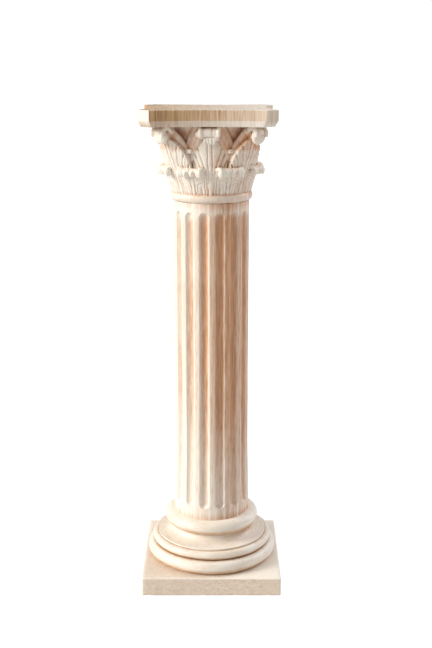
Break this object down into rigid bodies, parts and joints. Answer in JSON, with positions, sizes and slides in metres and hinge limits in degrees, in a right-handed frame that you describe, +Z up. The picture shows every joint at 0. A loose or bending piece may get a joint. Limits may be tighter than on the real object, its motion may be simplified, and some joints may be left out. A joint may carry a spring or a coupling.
{
  "type": "column pedestal",
  "caption": "Carved wooden column pedestal with a square plinth, turned base, fluted shaft, leaf capital and a flat top board for a vase, bust or plant.",
  "frame": {"origin": "on the floor under the middle of the plinth", "axes": "+Z up along the shaft, the front of the picture faces -Y, +X to its right"},
  "size_m": [0.291, 0.291, 1],
  "materials": {
    "plinth_wood": "limed wood, worn whitewash",
    "base_wood": "limed wood, thick whitewash",
    "shaft_wood": "limed wood, brown in the flutes",
    "capital_wood": "limed carved wood, brown in the hollows",
    "board_wood": "brown wood with thin whitewash"
  },
  "bodies": {
    "root": {"plinth": "plinth_wood", "base": "base_wood", "shaft": "shaft_wood", "capital": "capital_wood", "abacus": "board_wood"}
  },
  "joints": []
}
